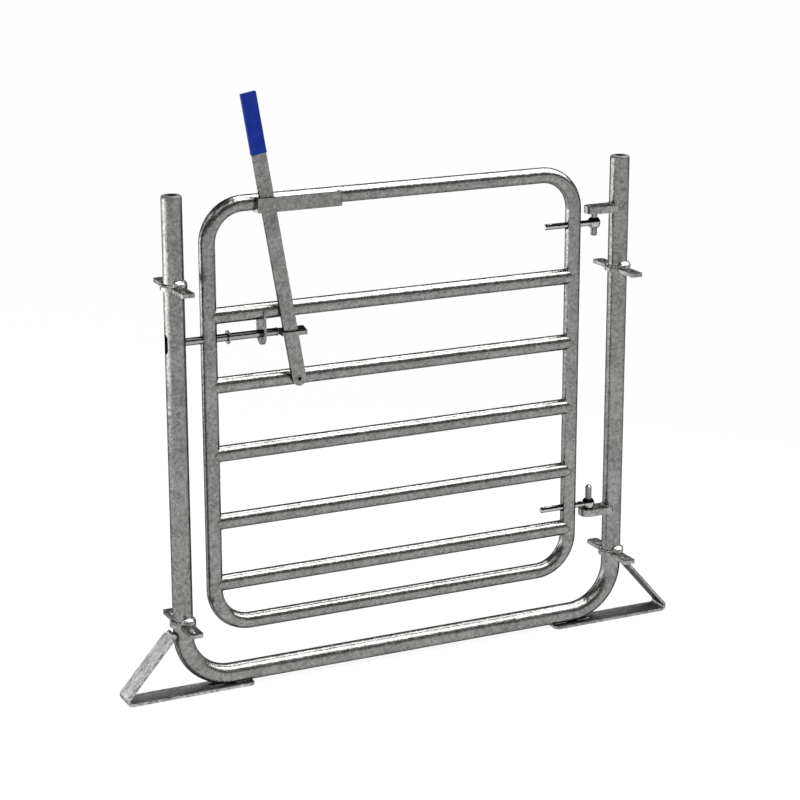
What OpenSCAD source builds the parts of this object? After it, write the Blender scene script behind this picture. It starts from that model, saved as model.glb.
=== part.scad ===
// Walk-through sheep gate: a barred leaf hung inside a one-piece tube frame,
// with a lever-worked sliding bolt. Millimetres, +Z up. The origin is on the
// ground, midway between the two posts, in the plane of the tubes.
// -Y is the side that the lever is on, -X is the latch side.

/* [Frame] */
// Distance between the axes of the two posts
post_pitch = 1025; // [900:5:1300]
// Height of the post tops above the ground
frame_h = 1055; // [980:5:1300]
// Outside diameter of the frame tube
frame_tube_d = 42.4; // [38:0.1:48.3]
// Wall of the frame tube
frame_wall = 2.6; // [2:0.1:4]
// Radius of the two lower bends, at the tube's axis
frame_bend_r = 104; // [80:1:110]
// Outside radius to which the post tops are rolled in
post_lip_r = 5; // [4.5:0.5:8]
// Diameter of the round mouth left in the post tops
post_mouth_d = 23; // [14:0.5:25]

/* [Feet] */
// Width of the flat bar that each foot is bent from
foot_w = 50; // [40:1:80]
// Thickness of the foot bar
foot_t = 6; // [5:0.5:8]
// Outside radius of the foot's sharp bend
foot_bend_r = 12; // [9:0.5:16]
// Distance from the post's axis to where foot and brace would meet in a point
foot_reach = 149; // [120:1:200]
// Distance from the post's axis to the foot's end under the sill
foot_tail = 150; // [120:1:200]
// Slope of the brace above the ground, in degrees
brace_angle = 48.7; // [44:0.1:52]
// Gap between the brace's end and the post, filled by the weld
brace_weld = 6; // [4:0.5:8]

/* [Joining lugs] */
// Length of a lug, end to end
lug_len = 170; // [155:1:200]
// Width of a lug's ears
lug_w = 28; // [24:1:36]
// Thickness of a lug
lug_t = 8; // [6:0.5:12]
// Diameter of a lug's round middle
lug_collar_d = 55; // [54:1:66]
// Distance between the middles of a lug's two pin slots
lug_slot_pitch = 118; // [112:1:120]
// Width of a lug's pin slots
lug_slot_w = 14; // [10:0.5:16]
// Length of a lug's pin slots, end to end
lug_slot_len = 30; // [20:1:34]
// Radius of the round weld bead between a lug's top and its post
lug_weld_r = 6.8; // [3:0.1:7.5]
// Part of the post that the bead goes round, in degrees
lug_weld_arc = 64; // [40:1:120]
// Turn of the bead's middle from the front ear towards the other post, in degrees
lug_weld_turn = 20; // [-30:1:60]
// Top of the latch post's upper lug above the ground
left_upper_lug_top = 872; // [835:1:900]
// Top of the hinge post's upper lug above the ground
right_upper_lug_top = 811; // [700:1:850]
// Clear height between the weld of a foot's brace and the lower lug above it
lower_lug_gap = 11.5; // [6:0.5:40]

/* [Leaf] */
// Distance from the latch post's axis to the leaf's near upright's axis
latch_gap = 72; // [60:1:90]
// Distance from the hinge post's axis to the leaf's near upright's axis
hinge_gap = 113; // [105:1:130]
// Height of the leaf's bottom tube's axis above the ground
leaf_lift = 138; // [120:1:150]
// Distance from the post tops down to the leaf's top tube's axis
leaf_drop = 29; // [20:1:60]
// Outside diameter of the leaf's tube and rails
leaf_tube_d = 33.7; // [30:0.1:36]
// Wall of the leaf's tube and rails
leaf_wall = 2.6; // [2:0.1:4]
// Radius of the leaf's four bends, at the tube's axis
leaf_bend_r = 78; // [60:1:85]
// Height of the lowest rail above the leaf's bottom tube
low_rail_rise = 92.5; // [86:0.5:95]
// Height of the next rail above the lowest one
second_rail_rise = 133.5; // [120:0.5:140]
// Spacing of the three upper rails
rail_pitch = 145.5; // [130:0.5:150]

/* [Hinges] */
// Diameter of the hinge pins
hinge_pin_d = 14; // [12:0.5:16]
// Distance from the leaf's upright's axis to the hinge axis
eye_reach = 52; // [46:1:56]
// Distance from the leaf's top tube down to the upper eye bolt
upper_eye_drop = 113; // [100:1:120]
// Height of the lower eye bolt above the leaf's bottom tube
lower_eye_rise = 140; // [128:1:150]
// Diameter of the eye bolts' shanks
eye_shank_d = 13; // [10:0.5:14]
// Play below an eye bolt's shank in its hole through the upright
eye_play = 3; // [0:0.5:4]
// Length of an eye bolt's shank beyond the upright's axis
eye_shank_past = 69; // [40:1:90]
// Diameter of the eye's ball
eye_ball_d = 28; // [25:0.5:32]
// Height of the eye between its flats
eye_h = 22; // [17:0.5:22]
// Width of the bars that carry the hinge pins
hinge_bar_w = 40; // [34:1:42]
// Thickness of the hinge bars
hinge_bar_t = 15; // [8:0.5:17]
// Radius of the hinge bars' free corners
hinge_bar_r = 16; // [6:0.5:17]
// Distance from the hinge axis to the hinge bars' free end
hinge_bar_end = 20.5; // [18:0.5:28]
// Clear height between the upper hinge bar and the eye
upper_eye_gap = 10.5; // [4:0.5:20]
// Length of the upper pin below the eye's middle
upper_pin_past = 28; // [18:0.5:40]
// Length of the lower pin above the eye's middle
lower_pin_past = 42; // [25:0.5:60]

/* [Lever] */
// Width of the lever's flat bar
lever_w = 30; // [25:0.5:35]
// Thickness of the lever's flat bar
lever_t = 8; // [6:0.5:10]
// Length of the lever above the leaf's top tube
lever_past = 225.6; // [190:0.1:320]
// Lean of the latched lever from upright, in degrees
lever_lean = 9.7; // [8:0.1:11]
// Travel of the lever from latched to open, in degrees
lever_throw = 21.1; // [20:0.1:22]
// Distance from the leaf's latch upright's axis to the lever's pivot
pivot_in = 187.5; // [170:0.5:220]
// Outside diameter of the hollow pivot pin
pivot_d = 12; // [10:0.5:14]
// Bore of the pivot pin
pivot_bore = 8; // [6:0.5:9]
// Length of the plastic grip
grip_len = 125; // [90:1:150]
// Wall of the plastic grip
grip_wall = 1.2; // [1:0.1:2]

/* [Lever strap] */
// Height of the strap that the lever runs behind
strap_h = 30; // [20:1:32]
// Thickness of the strap
strap_t = 5; // [4:0.5:6]
// Distance from the top tube's axis down to the strap's middle
strap_drop = 3.3; // [0:0.1:5]
// Slant of the strap's two ends from square, in degrees
strap_slant = 8; // [0:1:25]
// Outside radius of the strap's two bends
strap_bend_r = 7; // [6.5:0.5:9]

/* [Bolt] */
// Diameter of the sliding rod
rod_d = 16; // [12:0.5:16.5]
// Height of the rod above the lever's pivot
rod_rise = 98.5; // [92:0.5:105]
// Length of the latched rod past the post's axis
rod_past = 8; // [0:0.5:8]
// Diameter of the rod's stop washer
washer_d = 28; // [22:0.5:32]
// Thickness of the stop washer
washer_t = 3; // [2:0.5:5]
// Distance from the leaf's latch upright's axis to the stop washer
washer_in = 41; // [30:0.5:60]
// Width of the slots for the rod in the post
post_slot_w = 18; // [17.5:0.5:24]
// Height of the slots for the rod in the post
post_slot_h = 42; // [30:1:50]
// Width of the plate that guides the rod
guide_w = 43; // [36:1:44]
// Thickness of the guide plate
guide_t = 5; // [4:0.5:8]
// Distance from the leaf's latch upright's axis to the guide plate
guide_in = 115; // [108:0.5:120]
// Depth of the guide plate below the rod's axis
guide_below = 23.5; // [18:0.5:26]
// Thickness of the fork plate
fork_t = 8; // [6:0.5:10]
// Width of the fork beside its slot, on the rod's side
fork_left = 4.5; // [4:0.5:18]
// Width of the fork beside its slot, on the far side
fork_right = 15; // [10:0.5:24]
// Extra width of the fork's far corner, behind the lever
fork_flare = 10.5; // [0:0.5:14]
// Width of the fork's leg in front of the lever
fork_front = 8; // [6:0.5:12]
// Reach of the fork plate behind the rod's axis
fork_back = 12; // [9:0.5:16]

/* [Clearances] */
// Gap between welded or pressed pieces that lie against a round face
seat_gap = 0.1; // [0.05:0.05:0.2]
// Gap all round the sliding rod and the turning pins
run_gap = 0.4; // [0.3:0.05:0.6]
// Gap between the lever and the rails behind it
lever_gap = 0.6; // [0.4:0.1:0.9]
// Gap between the lever and the strap or fork round it
guide_gap = 0.9; // [0.5:0.1:0.9]

/* [Hidden] */
$fn = 64;

zinc = "#a3a5a2";
zinc_bright = "#bfc2c2";
grip_blue = "#20389c";

// Where the frame stands
left_x = -post_pitch / 2;
right_x = post_pitch / 2;
frame_r = frame_tube_d / 2;
sill_z = foot_t + seat_gap + frame_r;
brace_run = foot_reach - frame_r - brace_weld - foot_t * sin(brace_angle);
brace_top = brace_run * tan(brace_angle);
lower_lug_top = brace_top + brace_weld + lower_lug_gap + lug_t;

// Where the leaf hangs
leaf_r = leaf_tube_d / 2;
leaf_left = left_x + latch_gap;
leaf_right = right_x - hinge_gap;
leaf_top = frame_h - leaf_drop;
rail_5_z = leaf_lift + low_rail_rise;
rail_4_z = rail_5_z + second_rail_rise;
rail_z = [for (i = [3, 2, 1]) rail_4_z + i * rail_pitch, rail_4_z, rail_5_z];
hinge_x = leaf_right + eye_reach;
upper_eye_z = leaf_top - upper_eye_drop;
lower_eye_z = leaf_lift + lower_eye_rise;
upper_bar_z = upper_eye_z + eye_h / 2 + upper_eye_gap;
lower_bar_z = lower_eye_z - eye_h / 2 - run_gap - hinge_bar_t;
eye_bore = hinge_pin_d + 2 * run_gap;
eye_hole_d = eye_shank_d + 2 * seat_gap + eye_play;

// Where the lever and the bolt are
pivot_x = leaf_left + pivot_in;
pivot_z = rail_z[1];
rod_z = pivot_z + rod_rise;
lever_len = (leaf_top - pivot_z) / cos(lever_lean) + lever_past;
lever_back = -(leaf_r + lever_gap);
lever_front = lever_back - lever_t;
strap_back = lever_front - guide_gap;
strap_front = strap_back - strap_t;
strap_z = leaf_top - strap_drop;
lever_x = pivot_x - rod_rise * tan(lever_lean);
lever_half = lever_w / 2 / cos(lever_lean);
fork_half = lever_half + fork_t / 2 * tan(lever_lean) + guide_gap;
fork_start = lever_x - fork_half - fork_left;

module ring(r, wall) {
    difference() {
        circle(r);
        circle(r - wall);
    }
}

// A tube of a given length, from the origin up
module tube(r, wall, len) {
    linear_extrude(len)
        ring(r, wall);
}

// A tube along +X
module tube_x(r, wall, len) {
    rotate([0, 90, 0])
        tube(r, wall, len);
}

// A quarter bend of tube in the XZ plane round the origin, from an angle on
module tube_bend(r, wall, bend_r, start) {
    rotate([90, 0, 0])
        rotate([0, 0, start])
            rotate_extrude(angle = 90)
                translate([bend_r, 0])
                    ring(r, wall);
}

// A round bar along +X
module bar_x(d, len) {
    rotate([0, 90, 0])
        cylinder(d = d, h = len);
}

// A rectangle from x = 0 to len, centred on Y, with round corners at its far end
module end_rounded(len, w, r) {
    translate([0, -w / 2])
        square([len - r, w]);
    translate([0, -w / 2 + r])
        square([len, w - 2 * r]);
    for (side = [-1, 1])
        translate([len - r, side * (w / 2 - r)])
            circle(r);
}

// A rectangle centred on the origin with all its corners round
module rounded(len, w, r) {
    square([len - 2 * r, w], center = true);
    square([len, w - 2 * r], center = true);
    for (x = [-1, 1], y = [-1, 1])
        translate([x * (len / 2 - r), y * (w / 2 - r)])
            circle(r);
}

// The two posts and the sill, bent from one tube
module frame_hoop() {
    post_start = sill_z + frame_bend_r;
    color(zinc)
        difference() {
            union() {
                for (x = [left_x, right_x])
                    translate([x, 0, post_start])
                        tube(frame_r, frame_wall, frame_h - post_lip_r - post_start);
                for (x = [left_x, right_x])
                    translate([x, 0, frame_h])
                        post_lip();
                translate([left_x + frame_bend_r, 0, sill_z])
                    tube_x(frame_r, frame_wall, post_pitch - 2 * frame_bend_r);
                translate([left_x + frame_bend_r, 0, post_start])
                    tube_bend(frame_r, frame_wall, frame_bend_r, 180);
                translate([right_x - frame_bend_r, 0, post_start])
                    tube_bend(frame_r, frame_wall, frame_bend_r, 270);
            }
            post_slots();
        }
}

// The rolled-in top of a post, down from z = 0
module post_lip() {
    flat_r = frame_r - post_lip_r;
    rotate_extrude() {
        intersection() {
            translate([flat_r, -post_lip_r])
                ring(post_lip_r, frame_wall);
            translate([flat_r, -post_lip_r])
                square(post_lip_r);
        }
        translate([post_mouth_d / 2, -frame_wall])
            square([flat_r - post_mouth_d / 2, frame_wall]);
    }
}

// The slots that the bolt enters, through both walls of the latch post
module post_slots() {
    slot_shift = (post_slot_h - post_slot_w) / 2;
    translate([left_x - frame_r - 1, 0, rod_z]) {
        for (z = [-slot_shift, slot_shift])
            translate([0, 0, z])
                bar_x(post_slot_w, frame_tube_d + 2);
        translate([0, -post_slot_w / 2, -slot_shift])
            cube([frame_tube_d + 2, post_slot_w, 2 * slot_shift]);
    }
}

// One foot of bent flat bar, for a post that stands at x = 0 with the sill on its +X side
module foot() {
    tail_r = 10;
    brace_r = 5;
    bend_back = foot_bend_r / tan(brace_angle / 2);
    bend_x = -foot_reach + bend_back;
    inner_r = foot_bend_r - foot_t;
    brace_len = brace_run / cos(brace_angle);
    color(zinc_bright) {
        translate([bend_x, 0, 0])
            linear_extrude(foot_t)
                end_rounded(foot_tail - bend_x, foot_w, tail_r);
        translate([bend_x, foot_w / 2, foot_bend_r])
            rotate([90, 0, 0])
                rotate([0, 0, 90 + brace_angle])
                    rotate_sector(180 - brace_angle, inner_r);
        translate([-foot_reach, 0, 0])
            rotate([0, -brace_angle, 0])
                translate([bend_back, 0, -foot_t])
                    linear_extrude(foot_t)
                        end_rounded(brace_len - bend_back, foot_w, brace_r);
        brace_bead(brace_top);
    }
}

// The weld bead between a brace's end and its post, coped round the post
module brace_bead(z) {
    bead_len = 0.6 * foot_w;
    difference() {
        translate([-frame_r - 0.8 * brace_weld, bead_len / 2, z])
            rotate([90, 0, 0])
                cylinder(r = brace_weld, h = bead_len);
        translate([0, 0, z - 2 * brace_weld])
            cylinder(r = frame_r + seat_gap, h = 4 * brace_weld);
    }
}

// The foot's bend: part of a ring of bar, standing foot_w high
module rotate_sector(angle, inner_r) {
    rotate_extrude(angle = angle)
        translate([inner_r, 0])
            square([foot_t, foot_w]);
}

module left_foot() {
    translate([left_x, 0, 0])
        foot();
}

module right_foot() {
    translate([right_x, 0, 0])
        mirror([1, 0, 0])
            foot();
}

// A joining lug round a post: two slotted ears on a round middle, welded on
module lug(x, top) {
    corner_r = 6;
    bore = frame_tube_d + 2 * seat_gap;
    slot_shift = (lug_slot_len - lug_slot_w) / 2;
    color(zinc)
        translate([x, 0, top - lug_t]) {
            linear_extrude(lug_t)
                difference() {
                    union() {
                        rounded(lug_w, lug_len, corner_r);
                        circle(d = lug_collar_d);
                    }
                    circle(d = bore);
                    for (side = [-1, 1])
                        translate([0, side * lug_slot_pitch / 2]) {
                            for (end = [-1, 1])
                                translate([0, end * slot_shift])
                                    circle(d = lug_slot_w);
                            square([lug_slot_w, 2 * slot_shift], center = true);
                        }
                }
            translate([0, 0, lug_t + 0.9 * lug_weld_r])
                lug_bead(bore / 2);
        }
}

// The weld bead on a lug's front ear, part of a ring round the post, with its middle at z = 0
module lug_bead(post_r) {
    difference() {
        rotate([0, 0, lug_weld_turn - lug_weld_arc / 2 - 90])
            rotate_extrude(angle = lug_weld_arc)
                translate([post_r, 0])
                    circle(lug_weld_r);
        translate([0, 0, -2 * lug_weld_r])
            cylinder(r = post_r, h = 4 * lug_weld_r);
    }
}

// A hinge bar, welded to the hinge post with a coped end, from its underside up
module hinge_bar(z) {
    free_end = hinge_x - hinge_bar_end;
    color(zinc)
        difference() {
            translate([right_x, 0, z])
                rotate([0, 0, 180])
                    linear_extrude(hinge_bar_t)
                        end_rounded(right_x - free_end, hinge_bar_w, hinge_bar_r);
            translate([right_x, 0, z - 1])
                cylinder(r = frame_r + seat_gap, h = hinge_bar_t + 2);
            translate([hinge_x, 0, z - 1])
                cylinder(d = hinge_pin_d + 2 * seat_gap, h = hinge_bar_t + 2);
        }
}

// A hinge pin that stands up from z = 0, with a tapered point
module hinge_pin(len, point) {
    point_d = hinge_pin_d - 2 * point;
    color(zinc) {
        cylinder(d = hinge_pin_d, h = len - point);
        translate([0, 0, len - point])
            cylinder(d1 = hinge_pin_d, d2 = point_d, h = point, $fn = 48);
    }
}

module upper_hinge_pin() {
    point = 1.5;
    bottom = upper_eye_z - upper_pin_past;
    translate([hinge_x, 0, upper_bar_z + hinge_bar_t])
        mirror([0, 0, 1])
            hinge_pin(upper_bar_z + hinge_bar_t - bottom, point);
}

module lower_hinge_pin() {
    point = 3.5;
    translate([hinge_x, 0, lower_bar_z])
        hinge_pin(lower_eye_z + lower_pin_past - lower_bar_z, point);
}

// The leaf's outer tube, bent into a closed loop
module leaf_hoop() {
    low = leaf_lift + leaf_bend_r;
    high = leaf_top - leaf_bend_r;
    start = leaf_left + leaf_bend_r;
    end = leaf_right - leaf_bend_r;
    color(zinc)
        difference() {
            union() {
                for (x = [leaf_left, leaf_right])
                    translate([x, 0, low])
                        tube(leaf_r, leaf_wall, high - low);
                for (z = [leaf_lift, leaf_top])
                    translate([start, 0, z])
                        tube_x(leaf_r, leaf_wall, end - start);
                translate([end, 0, high])
                    tube_bend(leaf_r, leaf_wall, leaf_bend_r, 0);
                translate([start, 0, high])
                    tube_bend(leaf_r, leaf_wall, leaf_bend_r, 90);
                translate([start, 0, low])
                    tube_bend(leaf_r, leaf_wall, leaf_bend_r, 180);
                translate([end, 0, low])
                    tube_bend(leaf_r, leaf_wall, leaf_bend_r, 270);
            }
            translate([leaf_left - leaf_r - 1, 0, rod_z])
                bar_x(rod_d + 2 * run_gap, leaf_tube_d + 2);
            for (z = [upper_eye_z, lower_eye_z])
                translate([leaf_right - leaf_r - 1, 0, z - eye_play / 2])
                    bar_x(eye_hole_d, leaf_tube_d + 2);
        }
}

// A rail of the leaf, coped to the two uprights
module rail(z) {
    color(zinc)
        difference() {
            translate([leaf_left, 0, z])
                tube_x(leaf_r, leaf_wall, leaf_right - leaf_left);
            for (x = [leaf_left, leaf_right])
                translate([x, 0, z - leaf_tube_d])
                    cylinder(r = leaf_r + seat_gap, h = 2 * leaf_tube_d);
        }
}

// The rail that the lever pivots on, with a cross hole for the pivot pin
module pivot_rail() {
    color(zinc)
        difference() {
            rail(pivot_z);
            translate([pivot_x, leaf_tube_d, pivot_z])
                rotate([90, 0, 0])
                    cylinder(d = pivot_d + 2 * seat_gap, h = 2 * leaf_tube_d);
        }
}

// An eye bolt: a forged ball eye on a plain shank that goes through the upright
module eye_bolt(z) {
    tip_bevel = 1.5;
    shank = eye_reach + eye_shank_past;
    color(zinc)
        translate([hinge_x, 0, z])
            difference() {
                union() {
                    intersection() {
                        sphere(d = eye_ball_d);
                        cube([eye_ball_d, eye_ball_d, eye_h], center = true);
                    }
                    translate([tip_bevel - shank, 0, 0])
                        bar_x(eye_shank_d, shank - tip_bevel - eye_bore / 4);
                    translate([-shank, 0, 0])
                        rotate([0, 90, 0])
                            cylinder(d1 = eye_shank_d - 2 * tip_bevel, d2 = eye_shank_d, h = tip_bevel);
                }
                translate([0, 0, -eye_ball_d])
                    cylinder(d = eye_bore, h = 2 * eye_ball_d);
            }
}

// The strap on the top tube: guides the lever and stops it at both ends.
// Its inside ends touch the lever's edges, at the strap's upper edge, to guide_gap.
module lever_strap() {
    top_rise = strap_z + strap_h / 2 - pivot_z;
    open_angle = lever_throw - lever_lean;
    latched_edge = pivot_x - top_rise * tan(lever_lean) - lever_half - guide_gap;
    open_edge = pivot_x + top_rise * tan(open_angle) + lever_w / 2 / cos(open_angle) + guide_gap;
    inner_r = strap_bend_r - strap_t;
    bend_in = (inner_r + (guide_gap - inner_r) * sin(strap_slant)) / cos(strap_slant);
    plate_half = (open_edge - latched_edge) / 2 - bend_in;
    color(zinc)
        difference() {
            translate([(latched_edge + open_edge) / 2, strap_front, strap_z - strap_h / 2])
                linear_extrude(strap_h) {
                    half_strap(plate_half);
                    mirror([1, 0])
                        half_strap(plate_half);
                }
            translate([leaf_left, 0, leaf_top])
                bar_x(leaf_tube_d + 2 * seat_gap, leaf_right - leaf_left);
        }
}

// Half of the strap's front plate, from x = 0 to the left, with its bend and its return,
// which goes back as far as the top tube's middle
module half_strap(plate_half) {
    reach = 2 * strap_bend_r;
    translate([-plate_half, 0])
        square([plate_half, strap_t]);
    translate([-plate_half, strap_bend_r]) {
        intersection() {
            ring(strap_bend_r, strap_t);
            polygon([[0, 0], [0, -reach], [-reach, -reach], [-reach, -reach * tan(strap_slant)]]);
        }
        rotate([0, 0, strap_slant])
            translate([-strap_bend_r, 0])
                square([strap_t, -strap_front - strap_bend_r]);
    }
}

// The plate that hangs from the top rail and guides the rod
module rod_guide() {
    low = rod_z - guide_below;
    high = rail_z[0] + 2;
    corner_r = guide_w / 2 - 0.5;
    color(zinc)
        difference() {
            translate([leaf_left + guide_in - guide_t / 2, 0, high])
                rotate([0, 90, 0])
                    linear_extrude(guide_t)
                        end_rounded(high - low, guide_w, corner_r);
            translate([leaf_left, 0, rail_z[0]])
                bar_x(leaf_tube_d + 2 * seat_gap, leaf_right - leaf_left);
            translate([leaf_left, 0, rod_z])
                bar_x(rod_d + 2 * run_gap, leaf_right - leaf_left);
        }
}

// The hollow pin that the lever turns on, held in the second rail
module pivot_pin() {
    proud = 0.5;
    front = lever_front - proud;
    back = leaf_r + proud;
    color(zinc)
        translate([pivot_x, back, pivot_z])
            rotate([90, 0, 0])
                tube(pivot_d / 2, (pivot_d - pivot_bore) / 2, back - front);
}

// The sliding rod, from its tip in the post to the fork
module latch_rod() {
    tip_bevel = 3;
    tip = left_x - rod_past;
    color(zinc)
        translate([tip, 0, rod_z]) {
            rotate([0, 90, 0])
                cylinder(d1 = rod_d - 2 * tip_bevel, d2 = rod_d, h = tip_bevel);
            translate([tip_bevel, 0, 0])
                bar_x(rod_d, fork_start - tip - tip_bevel);
        }
}

module stop_washer() {
    bore_r = rod_d / 2 + seat_gap;
    color(zinc)
        translate([leaf_left + washer_in - washer_t / 2, 0, rod_z])
            tube_x(washer_d / 2, washer_d / 2 - bore_r, washer_t);
}

// The plate on the rod's end, with the slot that the lever passes through
module lever_fork() {
    corner_r = fork_front;
    len = fork_left + 2 * fork_half + fork_right;
    slot_front = lever_front - guide_gap;
    slot_depth = lever_t + 2 * guide_gap;
    front = slot_front - fork_front;
    color(zinc)
        translate([fork_start, 0, rod_z - fork_t / 2])
            linear_extrude(fork_t)
                difference() {
                    union() {
                        polygon([
                            [0, slot_front],
                            [corner_r, front],
                            [len, front],
                            [len + fork_flare, fork_back],
                            [0, fork_back]]);
                        translate([corner_r, slot_front])
                            circle(corner_r);
                    }
                    translate([fork_left, slot_front])
                        square([2 * fork_half, slot_depth]);
                }
}

// The lever's bar, leaning to the latched side
module lever_bar() {
    color(zinc)
        lever_place()
            difference() {
                rotate([90, 0, 0])
                    linear_extrude(lever_t) {
                        circle(d = lever_w);
                        translate([-lever_w / 2, 0])
                            square([lever_w, lever_len]);
                    }
                translate([0, 1, 0])
                    rotate([90, 0, 0])
                        cylinder(d = pivot_d + 2 * run_gap, h = lever_t + 2);
            }
}

// Puts a piece drawn upright on the pivot, with its back at y = 0, where the lever is
module lever_place() {
    translate([pivot_x, lever_back, pivot_z])
        rotate([0, -lever_lean, 0])
            children();
}

// The plastic sleeve on the lever's top, closed at its end
module grip() {
    outer_w = lever_w + 2 * (grip_wall + seat_gap);
    outer_t = lever_t + 2 * (grip_wall + seat_gap);
    corner_r = 2;
    inner_len = grip_len - grip_wall;
    color(grip_blue)
        lever_place()
            translate([0, -lever_t / 2, lever_len + seat_gap - inner_len])
                difference() {
                    linear_extrude(grip_len)
                        rounded(outer_w, outer_t, corner_r);
                    translate([0, 0, -1])
                        linear_extrude(inner_len + 1)
                            square([lever_w + 2 * seat_gap, lever_t + 2 * seat_gap], center = true);
                }
}

frame_hoop();
left_foot();
right_foot();
lug(left_x, left_upper_lug_top);  // left_upper_lug
lug(left_x, lower_lug_top);  // left_lower_lug
lug(right_x, right_upper_lug_top);  // right_upper_lug
lug(right_x, lower_lug_top);  // right_lower_lug
hinge_bar(upper_bar_z);  // upper_hinge_bar
hinge_bar(lower_bar_z);  // lower_hinge_bar
upper_hinge_pin();
lower_hinge_pin();
leaf_hoop();
rail(rail_z[0]);  // rail_1
pivot_rail();  // rail_2
rail(rail_z[2]);  // rail_3
rail(rail_z[3]);  // rail_4
rail(rail_z[4]);  // rail_5
eye_bolt(upper_eye_z);  // upper_eye_bolt
eye_bolt(lower_eye_z);  // lower_eye_bolt
lever_strap();
rod_guide();
pivot_pin();
latch_rod();
stop_washer();
lever_fork();
lever_bar();
grip();
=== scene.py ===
import math

import bpy
from mathutils import Matrix, Vector, noise


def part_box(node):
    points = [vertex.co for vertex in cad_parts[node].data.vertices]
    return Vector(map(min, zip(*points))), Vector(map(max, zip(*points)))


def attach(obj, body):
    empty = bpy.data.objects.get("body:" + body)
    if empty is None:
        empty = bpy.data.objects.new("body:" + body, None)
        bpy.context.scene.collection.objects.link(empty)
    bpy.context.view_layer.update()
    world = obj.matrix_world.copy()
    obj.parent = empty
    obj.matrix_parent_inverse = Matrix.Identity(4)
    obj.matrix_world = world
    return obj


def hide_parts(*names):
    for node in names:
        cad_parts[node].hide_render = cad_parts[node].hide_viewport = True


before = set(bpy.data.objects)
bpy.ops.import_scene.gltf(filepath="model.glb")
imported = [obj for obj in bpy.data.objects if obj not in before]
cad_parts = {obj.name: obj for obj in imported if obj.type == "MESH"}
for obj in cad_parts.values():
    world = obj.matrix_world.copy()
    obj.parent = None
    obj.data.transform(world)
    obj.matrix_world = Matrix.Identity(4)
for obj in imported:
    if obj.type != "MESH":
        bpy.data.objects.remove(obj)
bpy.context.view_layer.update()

# Looks of a galvanised walk-through sheep gate: zinc, plastic, weld beads, camera and light.
# Metres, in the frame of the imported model. -Y is the lever's side, -X the latch side.

MM = 0.001

# The camera, as solved from the straight tubes of the photograph
CAMERA_YAW = math.radians(25.77)
CAMERA_PITCH = math.radians(15.77)
CAMERA_ROLL = math.radians(-0.091)
CAMERA_PLACE = Vector((-2.1376, -4.4015, 1.9536))
FOCAL_PIXELS = 2406.7
FRAME_PIXELS = 800
SENSOR = 36


def make_camera():
    ahead = Vector((
        math.sin(CAMERA_YAW) * math.cos(CAMERA_PITCH),
        math.cos(CAMERA_YAW) * math.cos(CAMERA_PITCH),
        -math.sin(CAMERA_PITCH)))
    level = Vector((math.cos(CAMERA_YAW), -math.sin(CAMERA_YAW), 0))
    upright = level.cross(ahead)
    right = math.cos(CAMERA_ROLL) * level + math.sin(CAMERA_ROLL) * upright
    up = math.cos(CAMERA_ROLL) * upright - math.sin(CAMERA_ROLL) * level
    data = bpy.data.cameras.new("camera")
    data.sensor_width = SENSOR
    data.lens = FOCAL_PIXELS * SENSOR / FRAME_PIXELS
    data.clip_end = 100
    camera = bpy.data.objects.new("camera", data)
    bpy.context.scene.collection.objects.link(camera)
    turn = Matrix((right, up, -ahead)).transposed().to_4x4()
    camera.matrix_world = Matrix.Translation(CAMERA_PLACE) @ turn
    bpy.context.scene.camera = camera


bpy.context.scene.view_settings.view_transform = "Standard"
make_camera()


# Nodes

def node(tree, kind, sockets=None, **options):
    """Adds a shader node. A socket's value is a number, a colour or another node's output."""
    made = tree.nodes.new("ShaderNode" + kind)
    for name, value in options.items():
        setattr(made, name, value)
    for name, value in (sockets or {}).items():
        if isinstance(value, bpy.types.NodeSocket):
            tree.links.new(value, made.inputs[name])
        else:
            made.inputs[name].default_value = value
    return made


def math_node(tree, operation, first, second):
    return node(tree, "Math", {0: first, 1: second}, operation=operation).outputs[0]


def new_material(name):
    material = bpy.data.materials.new(name)
    material.use_nodes = True
    material.node_tree.nodes.clear()
    return material, material.node_tree


def finish_material(tree, shader):
    node(tree, "OutputMaterial", {"Surface": shader})


def ramp(tree, factor, stops):
    """A colour ramp through (place, colour) stops."""
    made = node(tree, "ValToRGB", {"Fac": factor})
    elements = made.color_ramp.elements
    while len(elements) < len(stops):
        elements.new(0.5)
    for element, (place, colour) in zip(elements, stops):
        element.position = place
        element.color = (*colour, 1)
    return made.outputs["Color"]


def to_range(tree, value, low, high):
    """Spreads a noise value, mostly 0.3 to 0.7, over low to high."""
    return node(tree, "MapRange", {
        "Value": value, "From Min": 0.3, "From Max": 0.7, "To Min": low, "To Max": high}).outputs["Result"]


# Studio

FLOOR_SIDE = 60
FLOOR_ALBEDO = 0.85
FLOOR_GLOW = 0.82
# Distance from the gate and brightness there, at the near and far end of the floor's fall-off
FLOOR_NEAR = (1, 1.08)
FLOOR_FAR = (4.5, 0.78)
SKY_FILL = 0.95
SUN_POWER = 0.7
SUN_WIDTH = math.radians(25)
SUN_TURN = (math.radians(28), math.radians(-24), 0)


def seen_directly(tree):
    """1 for camera, glossy and transmission rays, which all show the white studio."""
    path = node(tree, "LightPath").outputs
    seen = math_node(tree, "MAXIMUM", path["Is Camera Ray"], path["Is Glossy Ray"])
    return math_node(tree, "MAXIMUM", seen, path["Is Transmission Ray"])


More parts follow.
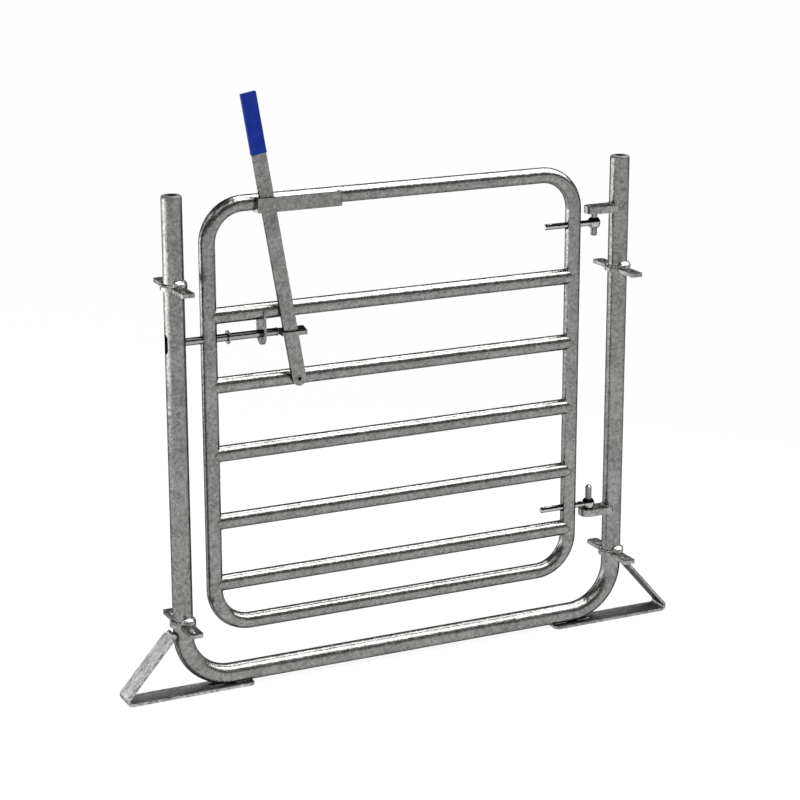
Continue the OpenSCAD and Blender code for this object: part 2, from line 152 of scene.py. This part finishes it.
def make_floor():
    """The white floor. It keeps the shadow, and polished metal mirrors it darker further off."""
    bpy.ops.mesh.primitive_plane_add(size=FLOOR_SIDE)
    floor = bpy.context.object
    floor.name = "floor"
    material, tree = new_material("floor_white")
    pale = (FLOOR_ALBEDO, FLOOR_ALBEDO, FLOOR_ALBEDO, 1)
    diffuse = node(tree, "BsdfDiffuse", {"Color": pale}).outputs[0]
    place = node(tree, "NewGeometry").outputs["Position"]
    distance = node(tree, "VectorMath", {0: place}, operation="LENGTH").outputs["Value"]
    fall = node(tree, "MapRange", {
        "Value": distance, "From Min": FLOOR_NEAR[0], "To Min": FLOOR_NEAR[1],
        "From Max": FLOOR_FAR[0], "To Max": FLOOR_FAR[1]}).outputs["Result"]
    camera_ray = node(tree, "LightPath").outputs["Is Camera Ray"]
    strength = math_node(tree, "MAXIMUM", fall, camera_ray)
    glow = node(tree, "Emission", {"Color": (1, 1, 1, 1), "Strength": strength}).outputs[0]
    share = math_node(tree, "MULTIPLY", seen_directly(tree), FLOOR_GLOW)
    mixed = node(tree, "MixShader", {0: share, 1: diffuse, 2: glow}).outputs[0]
    finish_material(tree, mixed)
    floor.data.materials.append(material)


def make_sky():
    world = bpy.data.worlds.new("studio")
    bpy.context.scene.world = world
    world.use_nodes = True
    tree = world.node_tree
    tree.nodes.clear()
    strength = node(tree, "MapRange", {
        "Value": seen_directly(tree), "To Min": SKY_FILL, "To Max": 1}).outputs["Result"]
    sky = node(tree, "Background", {"Color": (1, 1, 1, 1), "Strength": strength}).outputs[0]
    node(tree, "OutputWorld", {"Surface": sky})


def area_lamp(name, place, aim, width, height, radiance):
    """A soft rectangular lamp, given by the radiance of its face. It points down without an aim."""
    data = bpy.data.lights.new(name, "AREA")
    data.shape = "RECTANGLE"
    data.size = width
    data.size_y = height
    data.energy = radiance * math.pi * width * height
    lamp = bpy.data.objects.new(name, data)
    bpy.context.scene.collection.objects.link(lamp)
    lamp.location = place
    if aim is not None:
        lamp.rotation_euler = (Vector(aim) - Vector(place)).to_track_quat("-Z", "Y").to_euler()
    lamp.visible_camera = False
    return lamp


def make_lamps():
    """The lamp that lights the gate, three cards that only show in the metal, and a soft sun."""
    area_lamp("side_lamp", (-2.5, 2.1, 0.45), (0, 0, 0.45), 3.2, 0.9, 2.4)
    cards = [
        area_lamp("post_card", (-1.44, 0.24, 1.28), (-0.51, 0, 1.28), 0.76, 1.85, 1.8),
        area_lamp("brace_card", (-4.84, 11.26, 5.07), (-0.7, 0, 0.15), 5, 4.5, 1.2),
        area_lamp("ceiling_card", (6.6, -0.2, 6.5), None, 12.8, 7.4, 6)]
    for card in cards:
        card.visible_diffuse = False
    data = bpy.data.lights.new("soft_sun", "SUN")
    data.energy = SUN_POWER
    data.angle = SUN_WIDTH
    sun = bpy.data.objects.new("soft_sun", data)
    bpy.context.scene.collection.objects.link(sun)
    sun.rotation_euler = SUN_TURN


def mirrored_only(screen, level):
    """A glowing studio surface that shows in polished metal and nowhere else."""
    material, tree = new_material(screen.name)
    glow = node(tree, "Emission", {"Color": (level, level, level, 1), "Strength": 1}).outputs[0]
    finish_material(tree, glow)
    screen.data.materials.append(material)
    screen.visible_camera = False
    screen.visible_diffuse = False
    screen.visible_shadow = False


def make_dark_wall():
    """A dark band of studio wall round the gate, which makes the dark line on level tubes."""
    radius = 15
    low, high = 2.9, 18.4
    level = 0.17
    bpy.ops.mesh.primitive_cylinder_add(
        vertices=96, radius=radius, depth=high - low, end_fill_type="NOTHING",
        location=(0, 0, (low + high) / 2))
    wall = bpy.context.object
    wall.name = "dark_wall"
    mirrored_only(wall, level)


def make_dark_ceiling():
    """The dark half of the studio's ceiling, over the latch side."""
    side = 30
    height = 7.2
    level = 0.06
    bpy.ops.mesh.primitive_plane_add(size=side, location=(-side / 2, 0, height))
    ceiling = bpy.context.object
    ceiling.name = "dark_ceiling"
    mirrored_only(ceiling, level)


make_floor()
make_sky()
make_lamps()
make_dark_wall()
make_dark_ceiling()


# Materials

def zinc(name, dark, light, roughness, wave, offset, streak=1, dull_above=None):
    """Hot-dip zinc: mottled greys with crystal patches, low waves and fine grain.

    dark and light are the greys, roughness its two ends, wave the waves' height in metres.
    streak above 1 draws the mottle out along the bar. dull_above is the height above which the zinc turns
    rougher and darker towards the top."""
    cloud_size = 45 * MM
    patch_size = 8 * MM
    crystal_size = 4.5 * MM
    wave_size = 9 * MM
    grain_size = 1.6 * MM
    rim_fade = 4 * MM
    rim_roughness = 0.4
    material, tree = new_material(name)
    whole = node(tree, "TexCoord").outputs["Object"]
    place = node(tree, "Mapping", {
        "Vector": whole, "Location": offset, "Scale": (1, streak, 1)}).outputs[0]
    clouds = node(tree, "TexNoise", {
        "Vector": place, "Scale": 1 / cloud_size, "Detail": 4, "Roughness": 0.6}).outputs["Fac"]
    patches = node(tree, "TexNoise", {
        "Vector": place, "Scale": 1 / patch_size, "Detail": 3, "Roughness": 0.65}).outputs["Fac"]
    crystals = node(tree, "TexVoronoi", {
        "Vector": place, "Scale": 1 / crystal_size}).outputs["Color"]
    crystals = node(tree, "SeparateColor", {"Color": crystals}).outputs[0]
    mottle = math_node(tree, "MULTIPLY", clouds, 0.36)
    mottle = math_node(tree, "ADD", mottle, math_node(tree, "MULTIPLY", patches, 0.46))
    mottle = math_node(tree, "ADD", mottle, math_node(tree, "MULTIPLY", crystals, 0.18))
    between = [(a + b) / 2 for a, b in zip(dark, light)]
    colour = ramp(tree, mottle, [(0.36, dark), (0.5, between), (0.64, light)])
    shine = to_range(tree, patches, *roughness)
    if dull_above is not None:
        height = node(tree, "SeparateXYZ", {"Vector": whole}).outputs["Z"]
        dull = node(tree, "MapRange", {
            "Value": height, "From Min": dull_above,
            "From Max": dull_above + rim_fade}).outputs["Result"]
        rim = math_node(tree, "MULTIPLY", dull, rim_roughness)
        shine = math_node(tree, "ADD", shine, rim)
        colour = node(tree, "Mix", {
            "Factor": dull, "A": colour, "B": (*dark, 1)}, data_type="RGBA").outputs["Result"]
    waves = node(tree, "TexNoise", {
        "Vector": place, "Scale": 1 / wave_size, "Detail": 2, "Roughness": 0.5}).outputs["Fac"]
    grain = node(tree, "TexNoise", {
        "Vector": place, "Scale": 1 / grain_size, "Detail": 1}).outputs["Fac"]
    normal = node(tree, "Bump", {"Height": waves, "Distance": wave, "Strength": 1}).outputs[0]
    normal = node(tree, "Bump", {
        "Height": grain, "Distance": 0.05 * wave, "Strength": 1, "Normal": normal}).outputs[0]
    shader = node(tree, "BsdfPrincipled", {
        "Base Color": colour, "Metallic": 1, "Roughness": shine, "Normal": normal,
        "Specular Tint": (0.15, 0.15, 0.15, 1)}).outputs[0]
    finish_material(tree, shader)
    return material


def polished_zinc(name, above, below, start, end=1):
    """Plated round bar with a painted reflection in its base colour: dark in a band that faces up and
    light elsewhere, painted as the mirror image of a dark room over a white floor, and darker still right
    underneath as painted shade.

    start and end bound the band, on a scale from 0 where it faces down to 1 where it faces up."""
    cloud_size = 6 * MM
    grain_size = 1.2 * MM
    material, tree = new_material(name)
    coordinates = node(tree, "TexCoord").outputs
    clouds = node(tree, "TexNoise", {
        "Vector": coordinates["Object"], "Scale": 1 / cloud_size, "Detail": 3}).outputs["Fac"]
    grain = node(tree, "TexNoise", {
        "Vector": coordinates["Object"], "Scale": 1 / grain_size, "Detail": 1}).outputs["Fac"]
    rise = node(tree, "SeparateXYZ", {"Vector": coordinates["Normal"]}).outputs["Z"]
    rise = math_node(tree, "ADD", rise, to_range(tree, clouds, -0.12, 0.12))
    rise = node(tree, "MapRange", {"Value": rise, "From Min": -1, "From Max": 1}).outputs["Result"]
    # Painted shade: the colour where the bar faces straight down is darkened.
    shaded = [0.6 * b for b in below]
    stops = [(0.1, shaded), (0.4, below), (start, below), (start + 0.06, above)]
    if end < 1:
        stops += [(end, above), (end + 0.04, below)]
    colour = ramp(tree, rise, stops)
    normal = node(tree, "Bump", {"Height": grain, "Distance": 0.02 * MM, "Strength": 1}).outputs[0]
    shader = node(tree, "BsdfPrincipled", {
        "Base Color": colour, "Metallic": 1, "Roughness": to_range(tree, clouds, 0.16, 0.3),
        "Specular Tint": (0.2, 0.2, 0.2, 1), "Normal": normal}).outputs[0]
    finish_material(tree, shader)
    return material


def dipped_plastic(name, dark, light):
    """A dipped plastic sleeve: deep colour with slight clouding and orange-peel gloss."""
    cloud_size = 30 * MM
    peel_size = 2.5 * MM
    material, tree = new_material(name)
    place = node(tree, "TexCoord").outputs["Object"]
    clouds = node(tree, "TexNoise", {
        "Vector": place, "Scale": 1 / cloud_size, "Detail": 4}).outputs["Fac"]
    peel = node(tree, "TexNoise", {
        "Vector": place, "Scale": 1 / peel_size, "Detail": 2}).outputs["Fac"]
    normal = node(tree, "Bump", {"Height": peel, "Distance": 0.08 * MM, "Strength": 1}).outputs[0]
    shader = node(tree, "BsdfPrincipled", {
        "Base Color": ramp(tree, clouds, [(0.35, dark), (0.65, light)]),
        "Roughness": to_range(tree, clouds, 0.4, 0.52), "Specular IOR Level": 0.06,
        "Normal": normal}).outputs[0]
    finish_material(tree, shader)
    return material


HOT_DIP = zinc("hot_dip_zinc", (0.165, 0.163, 0.158), (0.345, 0.342, 0.333),
               (0.16, 0.29), 0.6 * MM, (0, 0, 0))
POST_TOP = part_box("frame_hoop")[1][2]
POST_ZINC = zinc("post_zinc", (0.165, 0.163, 0.158), (0.345, 0.342, 0.333),
                 (0.2, 0.33), 0.6 * MM, (0, 0, 0), dull_above=POST_TOP - 6 * MM)
# The feet are lit and shaded copies of one zinc: the left foot is painted lighter as painted light on its
# brace, the right foot is painted darker as painted shade.
LEFT_FOOT_PAINTED_LIGHT_ZINC = zinc("left_foot_painted_light_zinc", (0.13, 0.13, 0.13), (0.66, 0.66, 0.65),
                 (0.36, 0.48), 0.25 * MM, (3, 1, 2), streak=4)
RIGHT_FOOT_SHADED_COPY_ZINC = zinc("right_foot_shaded_copy_zinc", (0.12, 0.12, 0.12), (0.42, 0.42, 0.42),
                      (0.34, 0.46), 0.25 * MM, (2, 5, 3), streak=4)
PLATE_ZINC = zinc("plate_zinc", (0.2, 0.2, 0.195), (0.44, 0.44, 0.43),
                  (0.26, 0.4), 0.45 * MM, (1, 4, 2))
# Rod, washer and eye bolt zinc with a painted reflection: a dark band where the bar faces up, light where
# it faces down.
ROD_PAINTED_REFLECTION_ZINC = polished_zinc("rod_painted_reflection_zinc", (0.045, 0.045, 0.045), (0.36, 0.36, 0.35), 0.6)
EYE_PAINTED_REFLECTION_ZINC = polished_zinc("eye_painted_reflection_zinc", (0.006, 0.006, 0.007), (0.5, 0.5, 0.49), 0.6, 0.95)
WELD_ZINC = zinc("weld_zinc", (0.2, 0.2, 0.195), (0.42, 0.42, 0.41),
                 (0.15, 0.3), 0.35 * MM, (6, 2, 4))
# The lug blobs' zinc: its base colour is kept light as a painted highlight on the fat welds.
LUG_BLOB_PAINTED_HIGHLIGHT_ZINC = zinc("lug_blob_painted_highlight_zinc", (0.3, 0.3, 0.295), (0.42, 0.42, 0.41),
                  (0.24, 0.32), 0.12 * MM, (2, 7, 1))
GRIP_BLUE = dipped_plastic("grip_blue", (0.005, 0.02, 0.195), (0.009, 0.03, 0.25))

PLATES = [f"{post}_{place}_lug" for post in ("left", "right") for place in ("upper", "lower")]
PLATES += ["upper_hinge_bar", "lower_hinge_bar"]
NODE_ZINC = {name: PLATE_ZINC for name in PLATES}
NODE_ZINC.update({
    "upper_eye_bolt": EYE_PAINTED_REFLECTION_ZINC, "lower_eye_bolt": EYE_PAINTED_REFLECTION_ZINC,
    "latch_rod": ROD_PAINTED_REFLECTION_ZINC, "stop_washer": ROD_PAINTED_REFLECTION_ZINC,
    "left_foot": LEFT_FOOT_PAINTED_LIGHT_ZINC, "right_foot": RIGHT_FOOT_SHADED_COPY_ZINC,
    "frame_hoop": POST_ZINC, "grip": GRIP_BLUE})


def paint(piece, material):
    piece.data.materials.clear()
    piece.data.materials.append(material)


for name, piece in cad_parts.items():
    paint(piece, NODE_ZINC.get(name, HOT_DIP))


# Places of the welds, from the solids

def middle(name):
    low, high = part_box(name)
    return Vector([(a + b) / 2 for a, b in zip(low, high)])


def half_size(name):
    low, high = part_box(name)
    return Vector([(b - a) / 2 for a, b in zip(low, high)])


LEAF_R = half_size("leaf_hoop").y
POST_R = half_size("frame_hoop").y
LEAF_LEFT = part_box("leaf_hoop")[0][0] + LEAF_R
LEAF_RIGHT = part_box("leaf_hoop")[1][0] - LEAF_R
POST_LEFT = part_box("frame_hoop")[0][0] + POST_R
POST_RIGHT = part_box("frame_hoop")[1][0] - POST_R
LUG_T = 8 * MM


# Meshes

def mesh_piece(name, vertices, faces, material, body):
    """A smooth mesh piece that rides on a body."""
    mesh = bpy.data.meshes.new(name)
    mesh.from_pydata(vertices, [], faces)
    mesh.validate()
    mesh.shade_smooth()
    piece = bpy.data.objects.new(name, mesh)
    bpy.context.scene.collection.objects.link(piece)
    mesh.materials.append(material)
    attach(piece, body)
    return piece


def join_rings(rings):
    """Vertices and faces of a closed skin through rings of points, with flat ends."""
    size = len(rings[0])
    vertices = [point for ring in rings for point in ring]
    faces = [tuple(reversed(range(size)))]
    for start in range(0, len(vertices) - size, size):
        for i in range(size):
            j = (i + 1) % size
            faces.append((start + i, start + j, start + size + j, start + size + i))
    faces.append(tuple(range(len(vertices) - size, len(vertices))))
    return vertices, faces


def bead(name, path, radius, body, material=None, taper_length=1.6):
    """A rippled weld bead along a path, which is a function of 0 to 1.

    taper_length is how far its ends taper, in radii of the bead."""
    ripple = 2.4 * MM
    step = 0.5 * MM
    sides = 10
    lumps = 180
    samples = 40
    rough = [path(i / samples) for i in range(samples + 1)]
    length = sum((b - a).length for a, b in zip(rough, rough[1:]))
    count = max(12, round(length / step))
    points = [path(i / count) for i in range(count + 1)]
    across = Vector((0.31, 0.52, 0.79))
    rings = []
    for i, point in enumerate(points):
        along = (points[min(i + 1, count)] - points[max(i - 1, 0)]).normalized()
        across = (across - along * across.dot(along)).normalized()
        other = along.cross(across)
        from_end = min(i, count - i) * length / count
        taper = math.sqrt(min(1, from_end / (taper_length * radius) + 0.03))
        wave = 1 + 0.09 * math.cos(math.tau * i * length / count / ripple)
        lump = 1 + 0.3 * noise.noise(point * lumps)
        r = radius * taper * wave * lump
        ring = []
        for k in range(sides):
            turn = math.tau * k / sides
            ring.append(point + r * (math.cos(turn) * across + math.sin(turn) * other))
        rings.append(ring)
    vertices, faces = join_rings(rings)
    mesh_piece(name, vertices, faces, material or WELD_ZINC, body)


def arc(centre, radius, start, end):
    """A level arc as a path, its angles in degrees from +X."""
    def path(t):
        turn = math.radians(start + (end - start) * t)
        return centre + Vector((radius * math.cos(turn), radius * math.sin(turn), 0))
    return path


def line(a, b):
    return lambda t: Vector(a).lerp(Vector(b), t)


def saddle(centre, side, tube_r, upright_r):
    """The seam round a level tube's end on an upright; side is 1 where the tube goes to +X."""
    def path(t):
        turn = math.tau * t - 0.25 * math.pi
        y = tube_r * math.cos(turn)
        z = tube_r * math.sin(turn)
        depth = math.sqrt(max(upright_r ** 2 - y ** 2, (0.22 * upright_r) ** 2))
        return centre + Vector((side * depth, y, z))
    return path


def make_rail_welds():
    radius = 1.2 * MM
    for number in range(1, 6):
        z = middle(f"rail_{number}").z
        for side, x in ((1, LEAF_LEFT), (-1, LEAF_RIGHT)):
            name = f"weld_rail_{number}_{'left' if side == 1 else 'right'}"
            seam = saddle(Vector((x, 0, z)), side, LEAF_R, LEAF_R)
            bead(name, seam, radius, "leaf", HOT_DIP)


def make_hinge_bar_welds():
    radius = 2.6 * MM
    for name in ("upper_hinge_bar", "lower_hinge_bar"):
        low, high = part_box(name)
        reach = POST_R + 0.8 * MM
        turn = math.degrees(math.asin(0.9 * half_size(name).y / reach))
        for tag, z in (("top", high[2]), ("bottom", low[2])):
            around = arc(Vector((POST_RIGHT, 0, z)), reach, 180 - turn, 180 + turn)
            bead(f"weld_{name}_{tag}", around, radius, "frame")
        for tag, y in (("front", low[1]), ("back", high[1])):
            x = POST_RIGHT - math.sqrt(POST_R ** 2 - (0.98 * y) ** 2)
            bead(f"weld_{name}_{tag}", line((x, y, low[2]), (x, y, high[2])), radius, "frame")


def make_foot_welds():
    radius = 2.4 * MM
    half_gap = 7 * MM
    z = 7 * MM
    seam_length = 34 * MM
    for name, side in (("left_foot", 1), ("right_foot", -1)):
        low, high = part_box(name)
        end = high[0] if side == 1 else low[0]
        for tag, y in (("front", -half_gap), ("back", half_gap)):
            for part, inset in (("end", 4 * MM), ("inner", 62 * MM)):
                start = end - side * inset
                stop = start - side * seam_length
                seam = line((start, y, z), (stop, y, z))
                bead(f"weld_{name}_{tag}_{part}", seam, radius, "frame")


def make_strap_tack():
    """The short weld on the strap's upper edge, at its right end, clear of the lever behind."""
    radius = 3 * MM
    low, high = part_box("lever_strap")
    top = high[2]
    end = high[0] - 3 * MM
    start = end - 12 * MM
    y = low[1] + 1.4 * MM
    bead("weld_strap_tack", line((start, y, top), (end, y, top)), radius, "leaf", HOT_DIP)


def flattened(value):
    """A sine or cosine, bent so that the round it draws gets flatter sides."""
    return math.copysign(abs(value) ** 0.75, value)


def lug_blob(x, z):
    """Rings of the fat, smooth weld over a lug's front ear: a fillet's sloping face, closed round."""
    half_face = 9.4 * MM
    half_depth = 7.6 * MM
    off_post = 0.5 * MM
    start, end = -118, -30
    sides, count, lumps = 24, 40, 120
    rings = []
    for i in range(count + 1):
        turn = math.radians(start + (end - start) * i / count)
        out = Vector((math.cos(turn), math.sin(turn), 0))
        outward = (out + Vector((0, 0, 1))).normalized()
        down_face = (out - Vector((0, 0, 1))).normalized()
        centre = Vector((x, 0, z)) + (POST_R + off_post) * out
        along = 2 * i / count - 1
        lump = 1 + 0.06 * noise.noise(centre * lumps)
        swell = (1 - abs(along) ** 3) ** 0.5 * lump + 0.02
        ring = []
        for k in range(sides):
            round_turn = math.tau * k / sides
            wide = half_face * swell * flattened(math.cos(round_turn))
            deep = half_depth * swell * flattened(math.sin(round_turn))
            ring.append(centre + wide * down_face + deep * outward)
        rings.append(ring)
    return rings


def make_lug_welds():
    """Each lug's thin seam round the post, and the blob over its front ear."""
    seam_r = 4.4 * MM
    seam_reach = POST_R + 1.5 * MM
    blob_rise = 4.6 * MM
    for post, x in (("left", POST_LEFT), ("right", POST_RIGHT)):
        for place in ("upper", "lower"):
            name = f"{post}_{place}_lug"
            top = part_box(name)[0][2] + LUG_T
            seam = arc(Vector((x, 0, top)), seam_reach, -70, 290)
            bead(f"weld_{name}_seam", seam, seam_r, "frame", HOT_DIP)
            vertices, faces = join_rings(lug_blob(x, top + blob_rise))
            # The blob's light base colour is a painted highlight.
            mesh_piece(f"weld_{name}", vertices, faces, LUG_BLOB_PAINTED_HIGHLIGHT_ZINC, "frame")


def make_latch_welds():
    radius = 1.1 * MM
    off_fork = 0.6 * MM
    rod = middle("latch_rod")
    rod_r = half_size("latch_rod").z
    fork_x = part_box("lever_fork")[0][0]

    def round_rod(t):
        turn = math.tau * t
        y = rod_r * math.cos(turn)
        z = rod.z + rod_r * math.sin(turn)
        return Vector((fork_x - off_fork, y, z))
    bead("weld_fork", round_rod, radius, "bolt")
    guide_low, guide_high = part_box("rod_guide")
    rail = middle("rail_1")
    for tag, x in (("left", guide_low[0]), ("right", guide_high[0])):
        def under_rail(t):
            turn = math.pi * (1 + t)
            return Vector((x, LEAF_R * math.cos(turn), rail.z + LEAF_R * math.sin(turn)))
        bead(f"weld_guide_{tag}", under_rail, radius, "leaf")


def make_grip():
    """The dipped sleeve: soft edges, a rounded top and a slightly flared lower lip."""
    low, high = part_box("grip")
    length = 125 * MM
    half_w = 16.45 * MM
    half_t = (high[1] - low[1]) / 2 + 0.15 * MM
    lean = math.radians(9.7)
    corner = 2.4 * MM
    end_r = 1 * MM
    sides = 40
    end_steps = 6
    along = Vector((-math.sin(lean), 0, math.cos(lean)))
    across = Vector((math.cos(lean), 0, math.sin(lean)))
    out = Vector((0, 1, 0))
    foot_x = high[0] - half_w * math.cos(lean)
    foot_z = low[2] + half_w * math.sin(lean)
    foot = Vector((foot_x, (low[1] + high[1]) / 2, foot_z))

    def outline(grow):
        points = []
        for k in range(sides):
            turn = math.tau * (k + 0.5) / sides
            x = math.copysign(half_w - corner, math.cos(turn)) + corner * math.cos(turn)
            y = math.copysign(half_t - corner, math.sin(turn)) + corner * math.sin(turn)
            x += math.copysign(1, x) * grow
            y += math.copysign(1, y) * grow
            points.append((x, y))
        return points
    # Rise along the sleeve and growth of its outline there, in mm, then the rounded top
    stations = [
        (-0.2, -0.9), (0.1, -0.1), (0.5, 0.25), (1.6, 0.3), (4, 0.1), (10, 0), (40, 0.05), (80, 0)]
    stations = [(a * MM, b * MM) for a, b in stations]
    for i in range(end_steps + 1):
        turn = math.pi / 2 * i / end_steps
        stations.append((length - end_r + end_r * math.sin(turn), -end_r * (1 - math.cos(turn))))
    rings = []
    for rise, grow in stations:
        rings.append([foot + rise * along + x * across + y * out for x, y in outline(grow)])
    vertices, faces = join_rings(rings)
    sleeve = mesh_piece("grip_sleeve", vertices, faces, GRIP_BLUE, "lever")
    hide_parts("grip")


make_rail_welds()
make_hinge_bar_welds()
make_foot_welds()
make_strap_tack()
make_lug_welds()
make_latch_welds()
make_grip()
